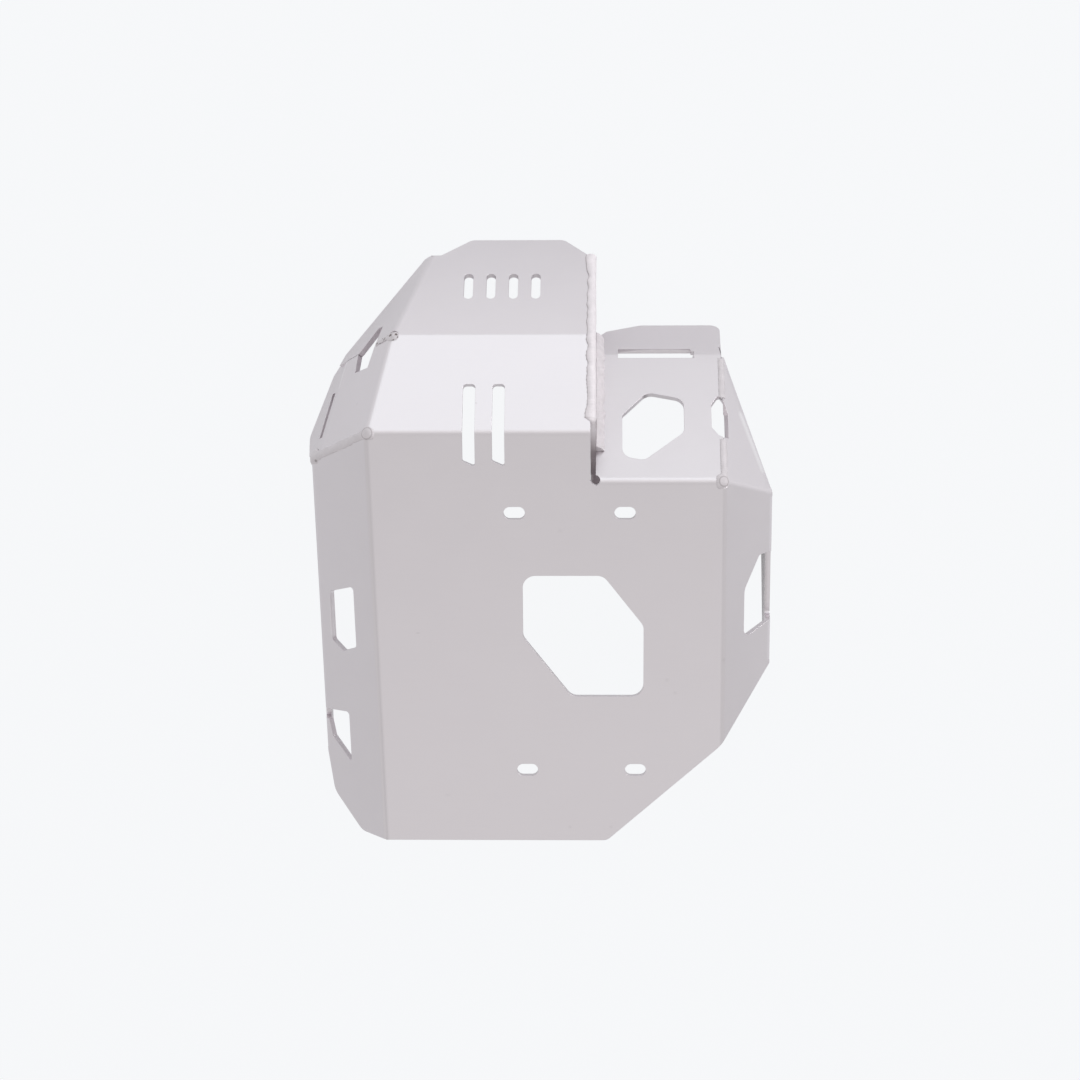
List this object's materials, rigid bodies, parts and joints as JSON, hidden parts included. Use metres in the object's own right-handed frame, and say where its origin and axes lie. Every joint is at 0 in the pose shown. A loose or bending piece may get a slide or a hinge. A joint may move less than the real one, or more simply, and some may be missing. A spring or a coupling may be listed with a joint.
{
  "type": "motorcycle_skid_plate",
  "caption": "Folded and welded aluminium skid plate with sloped cheeks, vents and a drain window, bolted under a motorcycle engine to guard its case",
  "frame": {"origin": "middle of the part's box, in the plane of the mouth that faces the engine; the part lies on its mouth with its outer face up", "axes": "+Y to the front of the motorcycle, +Z out of the outer face, +X to the right as the outer face is looked at"},
  "size_m": [0.3572, 0.4416, 0.1363],
  "materials": {
    "sheet_aluminium": "satin",
    "weld_aluminium": "as welded"
  },
  "bodies": {
    "root": {"skid_plate_blank": "sheet_aluminium", "step_web_plate": "sheet_aluminium", "left_corner_weld": "weld_aluminium", "upper_left_weld": "weld_aluminium", "right_corner_weld": "weld_aluminium", "right_upper_weld": "weld_aluminium", "web_edge_weld": "weld_aluminium", "web_fillet_weld": "weld_aluminium"}
  },
  "joints": []
}
